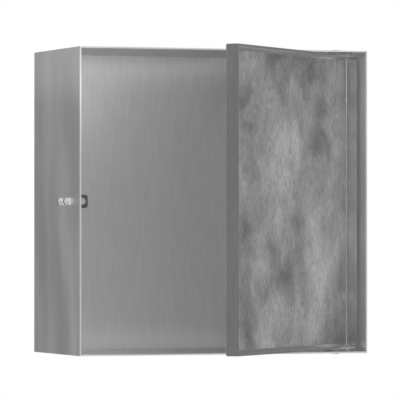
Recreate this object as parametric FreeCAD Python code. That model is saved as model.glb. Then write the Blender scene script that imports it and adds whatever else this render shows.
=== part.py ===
import FreeCAD, Part
import math
import os

# Recessed stainless wall cabinet with an inset tile-in door on two pivot hinges and a push latch.
# Millimetres, +Z up. The origin is the centre of the flat back face. The cabinet opens towards -Y,
# and the door is drawn standing open by DOOR_OPEN degrees.

# ---- driving dimensions -------------------------------------------------------------------
SIZE = 300.0                # outer width and height of the cabinet, one tile module
DEPTH = 150.0               # outer depth
SHEET = 1.5                 # stainless sheet of the cabinet and the door tray
BEND = 1.5                  # inside radius of the cabinet's folds
TRAY_BEND = 0.4             # fillet inside the tray, folded over milled grooves
TRAY_EDGE = 0.4             # rounding of the tray's upright outer edges
TRAY_FOLD = 1.6             # rounding of the tray's top and bottom outer edges

DOOR_GAP = 3.0              # gap all round the door
DOOR_THICK = 12.6           # overall thickness of the door tray
DOOR_RECESS = 9.0           # the lips stand this far behind the front edges
DOOR_OPEN = 45.5            # drawn opening angle
PIVOT_IN = 9.9              # pivot axis from the hinge end of the door

PLATE = 1.0                 # hinge plate thickness
PLATE_ARM = 9.8             # width of the hinge plate arm
PIN_R = 1.5                 # hinge pin radius
COLLAR_R = 2.0              # riveted collar that holds the pin in its plate
COLLAR_HIGH = 0.7
PIN_FIT = 0.05              # radial running fit of the pin in its bush
PIN_TAIL = 0.6              # pin end beyond the bush, inside the door
BUSH_R = 2.4                # sleeve radius of the door bushes
BUSH_FLANGE_R = 2.9
BUSH_FLANGE = 0.5
BUSH_TAIL = 1.0             # sleeve end inside the door lip
TAIL_HALF = 6.7             # half width of the plate tail
HINGE_SCREW_BACK = 18.0     # spacing of the two screws of a hinge plate, front to back

M4_R = 2.0
M4_CLEAR = 0.1              # radial clearance of the M4 holes
NUT_FLATS = 7.0             # M4 nuts
NUT_HIGH = 4.0              # lock nuts of the latch
STUD_PROUD = 0.8            # stud end beyond its lock nut
HINGE_NUT_HIGH = 1.4        # pressed-in nuts under the hinge plates
HEAD_R = 3.5
HEAD_HIGH = 1.1             # ultra-low head, outside the cabinet
WELD_FILLET = 0.4           # fillet where the flat panels meet the back

LATCH_SIZE = 12.9           # square body of the push latch
LATCH_LONG = 40.0
LATCH_FRONT = 25.2          # latch body behind the front edges of the cabinet
LATCH_ROUND = 2.4           # corner radius of the body
LATCH_EDGE = 1.0            # rounding of its front edge
LATCH_FOOT = 2.2           # foot between the body and the cabinet wall
LATCH_SCREWS = (36.5, 56.5)  # stud positions behind the front edges
TIP_R = 3.55
TIP_PROUD = 2.6             # tip in front of the latch body
TIP_THICK = 2.0             # magnet tip disc
TIP_SPIGOT_R = 2.0
TIP_FIT = 0.08              # radial running fit of the plunger in its bore
BORE_STEP = 5.0             # length of the narrow bore at the front
WIDE_BORE_R = 4.75
SHOULDER_R = 4.4
PLUNGER_TAIL = 8.0
PLUNGER_PLAY = 2.4          # room left in front of the spring
CAP_THICK = 2.0
SPIGOT_R = 1.3
SPRING_R = 2.1              # mean coil radius
SPRING_PITCH = 2.0
WIRE_R = 0.35
STUD_HEAD_R = 3.2
STUD_HEAD_HIGH = 1.2
STUD_COVER = 0.3            # plastic over the stud head

STRIKE = 0.8                # strike plate thickness
STRIKE_IN = 4.0             # strike plate from the free end of the door
STRIKE_LONG = 30.0
STRIKE_HIGH = 16.0
RIVET_R = 1.6

FLEECE = 0.5                # keying fleece on the tray floor
FLEECE_MARGIN = 3.5         # bare steel left round the fleece

# ---- derived places -----------------------------------------------------------------------
HALF = SIZE / 2.0
INNER = HALF - SHEET
FRONT = -DEPTH
DOOR_HALF = INNER - DOOR_GAP
DOOR_FRONT = FRONT + DOOR_RECESS
DOOR_BACK = DOOR_FRONT + DOOR_THICK
PIVOT_X = DOOR_HALF - PIVOT_IN
PIVOT_Y = DOOR_FRONT + DOOR_THICK / 2.0
HINGE_SCREW_X = PIVOT_X - 13.4
LATCH_X = -INNER + LATCH_FOOT + LATCH_SIZE / 2.0
LATCH_Y = FRONT + LATCH_FRONT
STRIKE_RIVETS = (-DOOR_HALF + 17.0, -DOOR_HALF + 28.0)

Z_AXIS = FreeCAD.Vector(0, 0, 1)
Y_AXIS = FreeCAD.Vector(0, 1, 0)
X_AXIS = FreeCAD.Vector(1, 0, 0)


def vec(x, y, z):
    return FreeCAD.Vector(x, y, z)


def box(x0, x1, y0, y1, z0, z1):
    return Part.makeBox(x1 - x0, y1 - y0, z1 - z0, vec(x0, y0, z0))


def rod(radius, base, axis, length):
    return Part.makeCylinder(radius, length, base, axis)


def near(a, b):
    return abs(a - b) < 1e-4


def edges_on(shape, test):
    """Edges whose two ends both pass the test."""
    return [e for e in shape.Edges if len(e.Vertexes) == 2 and all(test(v.Point) for v in e.Vertexes)]


def upright(edge):
    return near(edge.Vertexes[0].Point.x, edge.Vertexes[1].Point.x)


def flip(shape):
    """The matching piece at the bottom of the cabinet."""
    return shape.mirror(vec(0, 0, 0), Z_AXIS)


def swung(shape):
    """Turn a door piece from its shut place to its drawn place about the pivot axis."""
    turned = shape.copy()
    turned.rotate(vec(PIVOT_X, PIVOT_Y, 0), Z_AXIS, DOOR_OPEN)
    return turned


def hex_nut(base, axis, bore, high):
    """Hexagon nut with a chamfered crown that stands on base, with one corner to the front."""
    corner = NUT_FLATS / math.sqrt(3.0)
    side = Y_AXIS
    other = axis.cross(side)
    points = []
    for step in range(7):
        turn = math.radians(60.0 * step)
        points.append(base + side * (corner * math.cos(turn)) + other * (corner * math.sin(turn)))
    prism = Part.Face(Part.makePolygon(points)).extrude(axis * high)
    crown = Part.makeCone(corner + 1.7 * high - 0.35, corner - 0.35, high, base, axis)
    return prism.common(crown).cut(rod(bore, base - axis, axis, high + 2.0))


# ---- cabinet shell ------------------------------------------------------------------------
def make_wrap_shell():
    """Left side, back and right side, folded from one sheet."""
    outer = box(-HALF, HALF, FRONT, 0, -HALF, HALF)
    back_edges = edges_on(outer, lambda p: near(p.y, 0))
    outer = outer.makeFillet(SHEET + BEND, [e for e in back_edges if upright(e)])
    inner = box(-INNER, INNER, FRONT - 1, -SHEET, -HALF - 1, HALF + 1)
    back_edges = edges_on(inner, lambda p: near(p.y, -SHEET))
    inner = inner.makeFillet(BEND, [e for e in back_edges if upright(e)])
    shell = outer.cut(inner)
    for depth in LATCH_SCREWS:
        hole = rod(M4_R + M4_CLEAR, vec(-HALF - 1, FRONT + depth, 0), X_AXIS, SHEET + 2)
        shell = shell.cut(hole)
    return shell


def make_top_panel():
    """Flat panel welded between the sides, with the fold radius at its back corners."""
    panel = box(-INNER, INNER, FRONT, -SHEET, INNER, HALF)
    back_edges = edges_on(panel, lambda p: near(p.y, -SHEET))
    panel = panel.makeFillet(BEND, [e for e in back_edges if upright(e)])
    panel = panel.fuse(make_weld_fillet()).removeSplitter()
    for x, y in hinge_screw_places():
        panel = panel.cut(rod(M4_R + M4_CLEAR, vec(x, y, INNER - 1), Z_AXIS, SHEET + 2))
    return panel


def make_weld_fillet():
    """Smoothed weld in the corner between the flat panel and the back."""
    reach = INNER - BEND
    y0 = -SHEET - WELD_FILLET
    z0 = INNER - WELD_FILLET
    strip = box(-reach, reach, y0, -SHEET, z0, INNER)
    return strip.cut(rod(WELD_FILLET, vec(-reach - 1, y0, z0), X_AXIS, 2 * reach + 2))


# ---- hinges -------------------------------------------------------------------------------
def hinge_screw_places():
    return [(HINGE_SCREW_X, PIVOT_Y), (HINGE_SCREW_X, PIVOT_Y + HINGE_SCREW_BACK)]


def make_hinge_plate():
    """L-shaped plate under the top panel: an arm to the pin and a tail to the second screw."""
    half_arm = PLATE_ARM / 2.0
    left = HINGE_SCREW_X - TAIL_HALF
    arm = box(left, PIVOT_X, PIVOT_Y - half_arm, PIVOT_Y + half_arm, INNER - PLATE, INNER)
    nose = rod(half_arm, vec(PIVOT_X, PIVOT_Y, INNER - PLATE), Z_AXIS, PLATE)
    tail_end = PIVOT_Y + HINGE_SCREW_BACK + TAIL_HALF
    tail = box(left, HINGE_SCREW_X + TAIL_HALF, PIVOT_Y - half_arm, tail_end, INNER - PLATE, INNER)
    plate = arm.fuse([nose, tail]).removeSplitter()
    plate = plate.cut(rod(PIN_R, vec(PIVOT_X, PIVOT_Y, INNER - 5), Z_AXIS, 10))
    for x, y in hinge_screw_places():
        plate = plate.cut(rod(M4_R + M4_CLEAR, vec(x, y, INNER - 5), Z_AXIS, 10))
    return plate


def make_hinge_pin():
    """Pin riveted into the plate, with a collar under it, that reaches down through the door lip."""
    tip = DOOR_HALF - SHEET - BUSH_TAIL - PIN_TAIL
    shaft = rod(PIN_R, vec(PIVOT_X, PIVOT_Y, tip), Z_AXIS, INNER - tip)
    low_edge = edges_low(shaft)
    shaft = shaft.makeChamfer(0.3, low_edge)
    collar = rod(COLLAR_R, vec(PIVOT_X, PIVOT_Y, INNER - PLATE - COLLAR_HIGH), Z_AXIS, COLLAR_HIGH)
    return shaft.fuse(collar).removeSplitter()


def edges_low(shape):
    """Circular edges at the bottom of an upright round shape."""
    low = shape.BoundBox.ZMin
    return [e for e in shape.Edges if near(e.BoundBox.ZMin, low) and near(e.BoundBox.ZMax, low)]


def make_hinge_screw(x, y):
    """M4 screw with an ultra-low head outside and its end level with the nut under the plate."""
    head = rod(HEAD_R, vec(x, y, HALF), Z_AXIS, HEAD_HIGH)
    rim = [e for e in head.Edges if near(e.BoundBox.ZMin, HALF + HEAD_HIGH)]
    head = head.makeFillet(0.4, [e for e in rim if near(e.BoundBox.ZMax, HALF + HEAD_HIGH)])
    end = INNER - PLATE - HINGE_NUT_HIGH
    shank = rod(M4_R, vec(x, y, end), Z_AXIS, HALF - end)
    socket = rod(1.2, vec(x, y, HALF + 0.4), Z_AXIS, 2.0)
    return head.fuse(shank).cut(socket).removeSplitter()


def make_pivot_bush():
    """Flanged plain bush pressed into the door lip."""
    flange = rod(BUSH_FLANGE_R, vec(PIVOT_X, PIVOT_Y, DOOR_HALF), Z_AXIS, BUSH_FLANGE)
    low = DOOR_HALF - SHEET - BUSH_TAIL
    sleeve = rod(BUSH_R, vec(PIVOT_X, PIVOT_Y, low), Z_AXIS, DOOR_HALF - low)
    bush = flange.fuse(sleeve).removeSplitter()
    return bush.cut(rod(PIN_R + PIN_FIT, vec(PIVOT_X, PIVOT_Y, low - 1), Z_AXIS, 10))


# ---- door ---------------------------------------------------------------------------------
def make_door_tray():
    """Folded tray, open to the front: a floor with a lip on every side."""
    block = box(-DOOR_HALF, DOOR_HALF, DOOR_FRONT, DOOR_BACK, -DOOR_HALF, DOOR_HALF)
    back = edges_on(block, lambda p: near(p.y, DOOR_BACK))
    sides = [edge for edge in back if upright(edge)]
    ends = [edge for edge in back if not upright(edge)]
    outer = block.makeFillet(TRAY_FOLD, ends).common(block.makeFillet(TRAY_EDGE, sides))
    reach = DOOR_HALF - SHEET
    floor_y = DOOR_BACK - SHEET
    pocket = box(-reach, reach, DOOR_FRONT - 5, floor_y, -reach, reach)
    pocket = pocket.makeFillet(TRAY_BEND, edges_on(pocket, lambda p: near(p.y, floor_y)))
    tray = outer.cut(pocket)
    for z in (DOOR_HALF - SHEET - 1, -DOOR_HALF - 1):
        tray = tray.cut(rod(BUSH_R, vec(PIVOT_X, PIVOT_Y, z), Z_AXIS, SHEET + 2))
    for x in STRIKE_RIVETS:
        tray = tray.cut(strike_rivet(x))
    return tray


def make_bonding_fleece():
    """Keying fleece bonded to the tray floor, with rounded corners, where the cladding is glued."""
    reach = DOOR_HALF - SHEET - FLEECE_MARGIN
    floor_y = DOOR_BACK - SHEET
    fleece = box(-reach, reach, floor_y - FLEECE, floor_y, -reach, reach)
    corners = [e for e in fleece.Edges if near(e.Length, FLEECE)]
    return fleece.makeFillet(3.0, corners)


def make_strike_plate():
    """Steel plate on the back of the door that the latch tip holds."""
    x0 = -DOOR_HALF + STRIKE_IN
    plate = box(x0, x0 + STRIKE_LONG, DOOR_BACK, DOOR_BACK + STRIKE, -STRIKE_HIGH / 2, STRIKE_HIGH / 2)
    plate = plate.makeFillet(3.0, [e for e in plate.Edges if near(e.Length, STRIKE)])
    for x in STRIKE_RIVETS:
        plate = plate.cut(strike_rivet(x))
    return plate


def strike_rivet(x):
    """Rivet through the strike plate and the tray floor, flush on both sides."""
    shank = rod(RIVET_R, vec(x, DOOR_BACK - SHEET, 0), Y_AXIS, SHEET + STRIKE)
    head = Part.makeCone(RIVET_R, RIVET_R + 0.8, 0.8, vec(x, DOOR_BACK + STRIKE - 0.8, 0), Y_AXIS)
    return shank.fuse(head).removeSplitter()


# ---- push latch ---------------------------------------------------------------------------
def latch_rod(radius, y0, y1):
    return rod(radius, vec(LATCH_X, y0, 0), Y_AXIS, y1 - y0)


def latch_studs():
    """Headed studs moulded into the foot of the latch, out through the cabinet side."""
    studs = []
    for depth in LATCH_SCREWS:
        y = FRONT + depth
        head_x = -INNER + LATCH_FOOT - STUD_COVER
        head = rod(STUD_HEAD_R, vec(head_x - STUD_HEAD_HIGH, y, 0), X_AXIS, STUD_HEAD_HIGH)
        out = -HALF - NUT_HIGH - STUD_PROUD
        shank = rod(M4_R, vec(out, y, 0), X_AXIS, head_x - STUD_HEAD_HIGH - out)
        studs.append(head.fuse(shank).removeSplitter())
    return studs


def make_latch_housing():
    """Square body with a stepped bore for the plunger, on a foot against the cabinet side."""
    half = LATCH_SIZE / 2.0
    back = LATCH_Y + LATCH_LONG - CAP_THICK
    body = box(LATCH_X - half, LATCH_X + half, LATCH_Y, back, -half, half)
    body = body.makeFillet(LATCH_ROUND, [e for e in body.Edges if near(e.Length, back - LATCH_Y)])
    face = [e for e in body.Edges if near(e.BoundBox.YMin, LATCH_Y) and near(e.BoundBox.YMax, LATCH_Y)]
    body = body.makeFillet(LATCH_EDGE, face)
    foot = box(-INNER, LATCH_X - half + 2.0, LATCH_Y + 1.0, back, -half + 1.0, half - 1.0)
    housing = body.fuse(foot).removeSplitter()
    housing = housing.cut(latch_rod(TIP_R + TIP_FIT, LATCH_Y - 1, LATCH_Y + BORE_STEP))
    housing = housing.cut(latch_rod(WIDE_BORE_R, LATCH_Y + BORE_STEP, back + 1))
    return housing.cut(Part.makeCompound(latch_studs()))


def make_latch_end_cap():
    """Rear cap with a spigot that guides the spring."""
    half = LATCH_SIZE / 2.0
    back = LATCH_Y + LATCH_LONG
    plate = box(LATCH_X - half, LATCH_X + half, back - CAP_THICK, back, -half, half)
    plate = plate.makeFillet(LATCH_ROUND, [e for e in plate.Edges if near(e.Length, CAP_THICK)])
    return plate.fuse(latch_rod(SPIGOT_R, back - CAP_THICK - 7.0, back - CAP_THICK)).removeSplitter()


def make_latch_plunger():
    """Sliding plunger with a shoulder behind the bore step and a hollow for the spring."""
    front = LATCH_Y - TIP_PROUD + TIP_THICK
    shoulder = LATCH_Y + BORE_STEP + 0.3
    end = shoulder + PLUNGER_TAIL
    plunger = latch_rod(TIP_R, front, end).fuse(latch_rod(SHOULDER_R, shoulder, shoulder + 2.0))
    plunger = plunger.cut(latch_rod(SPRING_R + 0.9, shoulder + 1.0, end + 1))
    return plunger.cut(latch_rod(TIP_SPIGOT_R, front - 1, front + 3.0)).removeSplitter()


def make_latch_tip():
    """Magnet tip seated in the front of the plunger."""
    front = LATCH_Y - TIP_PROUD
    disc = latch_rod(TIP_R, front, front + TIP_THICK)
    rim = [e for e in disc.Edges if near(e.BoundBox.YMin, front) and near(e.BoundBox.YMax, front)]
    disc = disc.makeFillet(0.6, rim)
    return disc.fuse(latch_rod(TIP_SPIGOT_R, front + TIP_THICK, front + TIP_THICK + 3.0)).removeSplitter()


def make_latch_spring():
    """Compression spring at its pressed length, seated on the rear cap."""
    back = LATCH_Y + LATCH_LONG - CAP_THICK
    front = LATCH_Y + BORE_STEP + 1.3 + PLUNGER_PLAY
    length = back - front - 2 * WIRE_R
    helix = Part.makeHelix(SPRING_PITCH, length, SPRING_R)
    start = vec(SPRING_R, 0, 0)
    section = Part.Wire(Part.makeCircle(WIRE_R, start, vec(0, 1, 0)))
    coil = Part.Wire(helix).makePipeShell([section], True, True)
    coil.rotate(vec(0, 0, 0), X_AXIS, -90)
    coil.translate(vec(LATCH_X, front + WIRE_R, 0))
    return coil


# ---- every node ---------------------------------------------------------------------------
def make_nodes():
    top_panel = make_top_panel()
    plate = make_hinge_plate()
    pin = make_hinge_pin()
    bush = make_pivot_bush()
    screws = [make_hinge_screw(x, y) for x, y in hinge_screw_places()]
    nut_places = [vec(x, y, INNER - PLATE) for x, y in hinge_screw_places()]
    nuts = [hex_nut(place, Z_AXIS * -1, M4_R, HINGE_NUT_HIGH) for place in nut_places]
    latch_places = [vec(-HALF, FRONT + depth, 0) for depth in LATCH_SCREWS]
    latch_nuts = [hex_nut(place, X_AXIS * -1, M4_R, NUT_HIGH) for place in latch_places]
    return {
        "wrap_shell": [make_wrap_shell()],
        "top_panel": [top_panel],
        "bottom_panel": [flip(top_panel)],
        "hinge_plate_top": [plate],
        "hinge_plate_bottom": [flip(plate)],
        "hinge_pin_top": [pin],
        "hinge_pin_bottom": [flip(pin)],
        "hinge_screws": screws + [flip(s) for s in screws],
        "hinge_nuts": nuts + [flip(n) for n in nuts],
        "pivot_bushes": [swung(bush), swung(flip(bush))],
        "door_tray": [swung(make_door_tray())],
        "bonding_fleece": [swung(make_bonding_fleece())],
        "strike_plate": [swung(make_strike_plate())],
        "strike_rivets": [swung(strike_rivet(x)) for x in STRIKE_RIVETS],
        "latch_housing": [make_latch_housing()],
        "latch_end_cap": [make_latch_end_cap()],
        "latch_spring": [make_latch_spring()],
        "latch_studs": latch_studs(),
        "latch_nuts": latch_nuts,
        "latch_plunger": [make_latch_plunger()],
        "latch_tip": [make_latch_tip()],
    }


os.makedirs("parts", exist_ok=True)
for name, solids in make_nodes().items():
    shape = solids[0] if len(solids) == 1 else Part.makeCompound(solids)
    shape.exportStep("parts/" + name + ".step")
    print(name, "solids", len(shape.Solids), "valid", shape.isValid(), "volume", round(shape.Volume, 1))
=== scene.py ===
"""Looks of a recessed stainless wall cabinet with a tile-in door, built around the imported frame.

Lengths are in metres and light powers in watts. Noise scales count cells per metre.
"""
import math

import bpy
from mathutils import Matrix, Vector

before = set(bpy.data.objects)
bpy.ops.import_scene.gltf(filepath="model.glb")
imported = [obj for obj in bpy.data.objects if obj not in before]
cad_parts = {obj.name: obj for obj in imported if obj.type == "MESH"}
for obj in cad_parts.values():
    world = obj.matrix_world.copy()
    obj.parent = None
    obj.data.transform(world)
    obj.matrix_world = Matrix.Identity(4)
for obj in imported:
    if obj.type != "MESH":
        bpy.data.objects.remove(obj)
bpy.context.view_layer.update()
WHITE = (1.0, 1.0, 1.0, 1.0)
NOISE_SPAN = (0.3, 0.7)                 # nearly all noise values lie between these

# ---- camera, fitted to the object's outline in the photo -------------------------------------
CAMERA_PLACE = Vector((-1.3144, -3.7275, -0.0301))
CAMERA_YAW = math.radians(19.80)        # to the right of +Y
CAMERA_PITCH = math.radians(0.475)      # above the horizon
CAMERA_LENS_MM = 349.9
CAMERA_SENSOR_MM = 36.0
CAMERA_CLIP = (0.05, 60.0)              # nearest and furthest distance drawn

# ---- floor ----------------------------------------------------------------------------------
FLOOR_Z = -0.47                         # the cabinet hangs in a wall, above the floor
FLOOR_RADIUS = 3.2
FLOOR_CORNERS = 96
FLOOR_TONE = 0.94
FLOOR_ROUGHNESS = 0.9

# ---- light: the strengths and powers were fitted to the photo's tones ------------------------
# The plain light rises from BASE_LOW to BASE_HIGH between two heights of the view direction.
BASE_LOW = 0.06
BASE_HIGH = 0.13
BASE_HEIGHTS = (-0.6, 0.9)

# Broad soft lights: azimuth from +Y towards +X, elevation, half width, softness (degrees), strength.
SOFT_LIGHTS = [
    (162.0, 3.0, 12.0, 9.0, 0.70),
    (100.0, 10.0, 25.0, 20.0, 0.20),
    (180.0, 35.0, 25.0, 20.0, 0.43),
    (0.0, 88.0, 35.0, 25.0, 0.59),
    (-75.0, 5.0, 24.0, 16.0, 0.395),
]

# Panel lights: place, point they face, width, height, power, and whether they leave the door unlit.
PANELS = [
    ((-0.12, -0.70, 0.135), (-0.10, 0.00, 0.115), 0.20, 0.035, 0.069, True),
    ((-0.46, 0.77, 0.42), (-0.15, -0.07, 0.05), 0.50, 0.60, 0.193, False),
    ((-0.62, -0.30, 0.0), (0.0, -0.18, 0.0), 0.30, 0.70, 2.1, True),
]

# The pieces that turn with the door.
DOOR_NODES = ["door_tray", "bonding_fleece", "pivot_bushes", "strike_plate", "strike_rivets"]

# ---- brushed stainless sheet ----------------------------------------------------------------
STEEL_LEVEL = 0.93
STEEL_TINT = (0.998, 1.0, 1.001)
SHEET_ROUGHNESS = 0.30
DOOR_ROUGHNESS = 0.195
GRAIN_LENGTHWAYS = 0.07                 # noise scale along the grain, against 1 across it
CLOUD_LENGTHWAYS = 0.25                 # the same for the clouding
FINE_GRAIN = 1100.0
COARSE_GRAIN = 520.0
STEEL_CLOUDS = 26.0
FINE_SHARE = 0.3
COARSE_SHARE = 0.7
GRAIN_SPAN = (0.33, 0.67)
GRAIN_CONTRAST = 0.042
CLOUD_CONTRAST = 0.015
CLOUD_ROUGHENING = 0.05
ANISOTROPY = 0.85
GRAIN_DEPTH = 0.00001
GRAIN_STRENGTH = 0.35

# ---- keying fleece --------------------------------------------------------------------------
# Which part of the cloud pattern lies on the door. It was picked from 135 random offsets, as the one
# whose clouds lie most like the photo's.
FLEECE_SHIFT = (3.967, -1.222, -0.396)
FLEECE_DARK = 0.322
FLEECE_PALE = 0.830
FLEECE_TINT = (0.995, 1.0, 1.003)
FLEECE_CLOUDS = 13.0
FLEECE_PATCHES = 34.0
FLEECE_FIBRES = 700.0
CLOUD_DRAW = 0.75                       # noise scale upwards, against 1 sideways
FIBRE_DRAW = 0.24
CLOUD_SHARE = 0.62
PATCH_SHARE = 0.38
FLEECE_SPAN = (0.37, 0.63)
FIBRE_CONTRAST = 0.32
FLEECE_ROUGHNESS = 0.75
FLEECE_SPECULAR = 0.3
FLEECE_SHEEN = 0.08
FLEECE_DEPTH = 0.0002
FLEECE_STRENGTH = 0.5
PATCH_HEIGHT = 0.5                      # how high the patches stand, against 1 for the fibres

# ---- plated and moulded small parts ---------------------------------------------------------
SPECKLE_SCALE = 2600.0
BLOTCH_SCALE = 300.0
SPECKLE_SPAN = (0.35, 0.65)
SPECKLE_SHARE = 0.5
BLOTCH_SHARE = 0.5
PART_DEPTH = 0.00004
PART_STRENGTH = 0.25
ROUGHNESS_SPREAD = 0.15
EDGE_WEAR = 0.12                        # how much paler a worn edge is
WEAR_SPAN = (0.42, 0.6)                 # blotch values between which the wear grows to its full
WEAR_LEAST = 0.3
EDGE_RADIUS = 0.0003
EDGE_SAMPLES = 6
EDGE_ALIGNED = (0.995, 0.88)            # rounded against flat normal: an open face, a sharp edge


def make_camera():
    data = bpy.data.cameras.new("view_camera")
    data.lens = CAMERA_LENS_MM
    data.sensor_width = CAMERA_SENSOR_MM
    data.clip_start, data.clip_end = CAMERA_CLIP
    camera = bpy.data.objects.new("view_camera", data)
    look = Vector((math.cos(CAMERA_PITCH) * math.sin(CAMERA_YAW),
                   math.cos(CAMERA_PITCH) * math.cos(CAMERA_YAW),
                   math.sin(CAMERA_PITCH)))
    camera.location = CAMERA_PLACE
    camera.rotation_euler = look.to_track_quat("-Z", "Y").to_euler()
    bpy.context.scene.collection.objects.link(camera)
    bpy.context.scene.camera = camera


# ---- node helpers ---------------------------------------------------------------------------
class Nodes:
    """A few short calls for building a node tree."""

    def __init__(self, tree):
        self.tree = tree
        tree.nodes.clear()

    def add(self, kind, **settings):
        node = self.tree.nodes.new(kind)
        for key, value in settings.items():
            setattr(node, key, value)
        return node

    def link(self, source, target):
        self.tree.links.new(source, target)

    def put(self, target, value):
        """Link another node's output, or set a plain number."""
        if hasattr(value, "is_output"):
            self.link(value, target)
        else:
            target.default_value = value

    def math(self, operation, a, b):
        node = self.add("ShaderNodeMath", operation=operation)
        self.put(node.inputs[0], a)
        self.put(node.inputs[1], b)
        return node.outputs[0]

    def blend(self, a, a_share, b, b_share):
        """Add two values in the given shares."""
        return self.math("ADD", self.math("MULTIPLY", a, a_share), self.math("MULTIPLY", b, b_share))

    def dot(self, a, b):
        node = self.add("ShaderNodeVectorMath", operation="DOT_PRODUCT")
        self.put(node.inputs[0], a)
        self.put(node.inputs[1], b)
        return node.outputs["Value"]

    def ramp(self, value, low, high, to_low=0.0, to_high=1.0, smooth=True):
        node = self.add("ShaderNodeMapRange")
        node.interpolation_type = "SMOOTHSTEP" if smooth else "LINEAR"
        for socket, number in zip(node.inputs, (value, low, high, to_low, to_high)):
            self.put(socket, number)
        return node.outputs[0]

    def scaled(self, vector, scale, offset=(0.0, 0.0, 0.0)):
        node = self.add("ShaderNodeMapping")
        self.link(vector, node.inputs["Vector"])
        node.inputs["Scale"].default_value = scale
        node.inputs["Location"].default_value = offset
        return node.outputs[0]

    def noise(self, vector, scale, detail, rough, distort=0.0):
        node = self.add("ShaderNodeTexNoise")
        self.link(vector, node.inputs["Vector"])
        node.inputs["Scale"].default_value = scale
        node.inputs["Detail"].default_value = detail
        node.inputs["Roughness"].default_value = rough
        node.inputs["Distortion"].default_value = distort
        return node.outputs["Fac"]


# ---- surroundings ---------------------------------------------------------------------------
def make_world():
    """Soft studio surroundings: a white backdrop for the camera, broad soft lights for the rest."""
    world = bpy.data.worlds.new("studio")
    bpy.context.scene.world = world
    world.use_nodes = True
    n = Nodes(world.node_tree)
    direction = n.add("ShaderNodeTexCoord").outputs["Generated"]
    split = n.add("ShaderNodeSeparateXYZ")
    n.link(direction, split.inputs[0])
    low, high = BASE_HEIGHTS
    light = n.ramp(split.outputs["Z"], low, high, BASE_LOW, BASE_HIGH, smooth=False)
    for azimuth, elevation, wide, soft, strength in SOFT_LIGHTS:
        a, e = math.radians(azimuth), math.radians(elevation)
        axis = (math.cos(e) * math.sin(a), math.cos(e) * math.cos(a), math.sin(e))
        outer = math.cos(math.radians(wide + soft))
        inner = math.cos(math.radians(wide - soft))
        light = n.math("ADD", light, n.ramp(n.dot(direction, axis), outer, inner, 0.0, strength))
    surround = n.add("ShaderNodeBackground")
    surround.inputs["Color"].default_value = WHITE
    n.link(light, surround.inputs["Strength"])
    backdrop = n.add("ShaderNodeBackground")
    backdrop.inputs["Color"].default_value = WHITE
    choose = n.add("ShaderNodeMixShader")
    n.link(n.add("ShaderNodeLightPath").outputs["Is Camera Ray"], choose.inputs[0])
    n.link(surround.outputs[0], choose.inputs[1])
    n.link(backdrop.outputs[0], choose.inputs[2])
    n.link(choose.outputs[0], n.add("ShaderNodeOutputWorld").inputs["Surface"])


def make_panels():
    """Soft panels that shape the gradients on the sheet. The camera doesn't see them."""
    all_but_door = bpy.data.collections.new("cabinet_in_light")
    for name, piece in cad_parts.items():
        if name not in DOOR_NODES:
            all_but_door.objects.link(piece)
    for place, target, width, height, power, spares_door in PANELS:
        data = bpy.data.lights.new("panel", "AREA")
        data.shape = "RECTANGLE"
        data.size = width
        data.size_y = height
        data.energy = power
        panel = bpy.data.objects.new("panel", data)
        panel.location = place
        aim = Vector(target) - Vector(place)
        panel.rotation_euler = aim.to_track_quat("-Z", "Y").to_euler()
        panel.visible_camera = False
        if spares_door:
            panel.light_linking.receiver_collection = all_but_door
        bpy.context.scene.collection.objects.link(panel)


def make_floor():
    mesh = bpy.data.meshes.new("floor")
    points = []
    for corner in range(FLOOR_CORNERS):
        turn = 2 * math.pi * corner / FLOOR_CORNERS
        points.append((FLOOR_RADIUS * math.cos(turn), FLOOR_RADIUS * math.sin(turn), FLOOR_Z))
    mesh.from_pydata(points, [], [tuple(range(FLOOR_CORNERS))])
    floor = bpy.data.objects.new("floor", mesh)
    bpy.context.scene.collection.objects.link(floor)
    material, _, shader = start_material("pale_floor")
    shader.inputs["Base Color"].default_value = (FLOOR_TONE, FLOOR_TONE, FLOOR_TONE, 1.0)
    shader.inputs["Roughness"].default_value = FLOOR_ROUGHNESS
    mesh.materials.append(material)


# ---- materials ------------------------------------------------------------------------------
def start_material(name):
    """A new material with its node calls and its shader."""
    material = bpy.data.materials.new(name)
    material.use_nodes = True
    n = Nodes(material.node_tree)
    shader = n.add("ShaderNodeBsdfPrincipled")
    n.link(shader.outputs[0], n.add("ShaderNodeOutputMaterial").inputs["Surface"])
    return material, n, shader


def object_place(n):
    return n.add("ShaderNodeTexCoord").outputs["Object"]


def set_colour(n, shader, tone, tint):
    """Base colour: a grey tone times a slight tint for red, green and blue."""
    colour = n.add("ShaderNodeCombineColor")
    for socket, share in zip(colour.inputs, tint):
        n.link(n.math("MULTIPLY", tone, share), socket)
    n.link(colour.outputs[0], shader.inputs["Base Color"])


def bump(n, shader, height, strength, distance):
    node = n.add("ShaderNodeBump")
    node.inputs["Strength"].default_value = strength
    node.inputs["Distance"].default_value = distance
    n.link(height, node.inputs["Height"])
    n.link(node.outputs[0], shader.inputs["Normal"])


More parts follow.
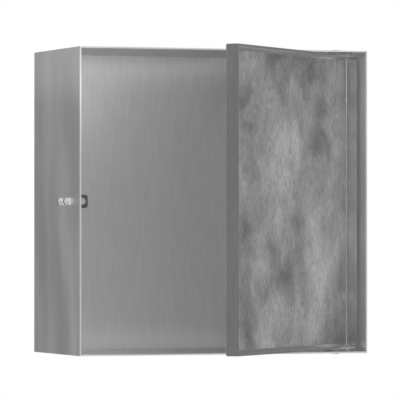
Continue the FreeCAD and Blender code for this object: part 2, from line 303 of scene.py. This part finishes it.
def brushed_steel(name, rough, along):
    """Stainless sheet with a fine one-way grain along one axis, and faint clouding."""
    material, n, shader = start_material(name)
    place = object_place(n)
    grain_scale = [GRAIN_LENGTHWAYS if axis == along else 1.0 for axis in "XYZ"]
    cloud_scale = [CLOUD_LENGTHWAYS if axis == along else 1.0 for axis in "XYZ"]
    grain_place = n.scaled(place, grain_scale)
    fine = n.noise(grain_place, FINE_GRAIN, detail=1.0, rough=0.5)
    coarse = n.noise(grain_place, COARSE_GRAIN, detail=1.0, rough=0.4)
    cloud = n.noise(n.scaled(place, cloud_scale), STEEL_CLOUDS, detail=3.0, rough=0.5)
    tone = n.ramp(n.blend(fine, FINE_SHARE, coarse, COARSE_SHARE), *GRAIN_SPAN,
                  STEEL_LEVEL * (1 - GRAIN_CONTRAST), STEEL_LEVEL * (1 + GRAIN_CONTRAST), smooth=False)
    clouding = n.ramp(cloud, *NOISE_SPAN, 1 - CLOUD_CONTRAST, 1 + CLOUD_CONTRAST)
    tone = n.math("MULTIPLY", tone, clouding)
    set_colour(n, shader, tone, STEEL_TINT)
    roughness = n.ramp(cloud, *NOISE_SPAN,
                       rough * (1 - CLOUD_ROUGHENING), rough * (1 + CLOUD_ROUGHENING))
    n.link(roughness, shader.inputs["Roughness"])
    shader.inputs["Metallic"].default_value = 1.0
    shader.inputs["Anisotropic"].default_value = ANISOTROPY
    tangent = n.add("ShaderNodeTangent", direction_type="RADIAL", axis=along)
    n.link(tangent.outputs[0], shader.inputs["Tangent"])
    bump(n, shader, coarse, GRAIN_STRENGTH, GRAIN_DEPTH)
    return material


def cloudy_fleece(name):
    """Grey keying fleece: soft clouds drawn out upwards, with hair-fine upright fibres."""
    material, n, shader = start_material(name)
    place = n.scaled(object_place(n), (1.0, 1.0, 1.0), FLEECE_SHIFT)
    clouds = n.noise(n.scaled(place, (1.0, 1.0, CLOUD_DRAW)), FLEECE_CLOUDS,
                     detail=2.0, rough=0.45, distort=0.3)
    patches = n.noise(place, FLEECE_PATCHES, detail=4.0, rough=0.6, distort=0.4)
    fibres = n.noise(n.scaled(place, (1.0, 1.0, FIBRE_DRAW)), FLEECE_FIBRES, detail=4.0, rough=0.65)
    tone = n.ramp(n.blend(clouds, CLOUD_SHARE, patches, PATCH_SHARE), *FLEECE_SPAN,
                  FLEECE_DARK, FLEECE_PALE, smooth=False)
    fibre = n.ramp(fibres, *NOISE_SPAN, 1 - FIBRE_CONTRAST, 1 + FIBRE_CONTRAST, smooth=False)
    set_colour(n, shader, n.math("MULTIPLY", tone, fibre), FLEECE_TINT)
    shader.inputs["Roughness"].default_value = FLEECE_ROUGHNESS
    shader.inputs["Specular IOR Level"].default_value = FLEECE_SPECULAR
    shader.inputs["Sheen Weight"].default_value = FLEECE_SHEEN
    height = n.math("ADD", fibres, n.math("MULTIPLY", patches, PATCH_HEIGHT))
    bump(n, shader, height, FLEECE_STRENGTH, FLEECE_DEPTH)
    return material


def worn_edges(n):
    """1 along sharp outer edges, 0 on open faces."""
    rounded = n.add("ShaderNodeBevel", samples=EDGE_SAMPLES)
    rounded.inputs["Radius"].default_value = EDGE_RADIUS
    flat = n.add("ShaderNodeNewGeometry").outputs["Normal"]
    open_face, sharp_edge = EDGE_ALIGNED
    return n.ramp(n.dot(rounded.outputs[0], flat), open_face, sharp_edge)


def plated(name, level, rough, warm, speckle=0.05, metallic=1.0):
    """Plated or moulded small part with a faint speckle and paler, worn edges."""
    material, n, shader = start_material(name)
    place = object_place(n)
    fine = n.noise(place, SPECKLE_SCALE, detail=3.0, rough=0.6)
    broad = n.noise(place, BLOTCH_SCALE, detail=3.0, rough=0.5)
    tone = n.ramp(n.blend(fine, SPECKLE_SHARE, broad, BLOTCH_SHARE), *SPECKLE_SPAN,
                  level * (1 - speckle), level * (1 + speckle))
    bare = n.math("MULTIPLY", worn_edges(n), n.ramp(broad, *WEAR_SPAN, WEAR_LEAST, 1.0))
    tone = n.math("ADD", tone, n.math("MULTIPLY", bare, level * EDGE_WEAR))
    set_colour(n, shader, tone, (1 + warm, 1.0, 1 - warm))
    shader.inputs["Metallic"].default_value = metallic
    roughness = n.ramp(broad, *NOISE_SPAN,
                       rough * (1 - ROUGHNESS_SPREAD), rough * (1 + ROUGHNESS_SPREAD))
    n.link(roughness, shader.inputs["Roughness"])
    bump(n, shader, fine, PART_STRENGTH, PART_DEPTH)
    return material


def dress(nodes, material):
    for node in nodes:
        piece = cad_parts[node]
        for slot in piece.material_slots:
            slot.material = material
        if not piece.material_slots:
            piece.data.materials.append(material)


def make_materials():
    dress(["wrap_shell"], brushed_steel("brushed_upright", SHEET_ROUGHNESS, "Z"))
    dress(["top_panel", "bottom_panel"], brushed_steel("brushed_flat", SHEET_ROUGHNESS, "Y"))
    dress(["door_tray"], brushed_steel("brushed_door", DOOR_ROUGHNESS, "Z"))
    dress(["bonding_fleece"], cloudy_fleece("keying_fleece"))
    dress(["hinge_plate_top", "hinge_plate_bottom"],
          plated("dark_zinc", level=0.42, rough=0.46, warm=0.03))
    dress(["hinge_pin_top", "hinge_pin_bottom"],
          plated("satin_nickel", level=0.95, rough=0.34, warm=0.06, speckle=0.04))
    dress(["latch_tip"],
          plated("tip_nickel", level=0.66, rough=0.40, warm=0.025))
    dress(["hinge_screws", "hinge_nuts", "latch_nuts", "latch_studs", "strike_plate", "strike_rivets"],
          plated("bright_zinc", level=0.90, rough=0.34, warm=0.0))
    dress(["latch_spring"],
          plated("spring_steel", level=0.55, rough=0.3, warm=0.0))
    dress(["pivot_bushes"],
          plated("grey_acetal", level=0.42, rough=0.45, warm=0.0, metallic=0.0))
    dress(["latch_housing", "latch_end_cap"],
          plated("latch_plastic", level=0.19, rough=0.42, warm=0.01, speckle=0.08, metallic=0.0))
    dress(["latch_plunger"],
          plated("plunger_plastic", level=0.16, rough=0.4, warm=0.01, speckle=0.1, metallic=0.0))


# MAIN
make_camera()
make_world()
make_panels()
make_floor()
make_materials()

bpy.context.scene.view_settings.view_transform = "Standard"
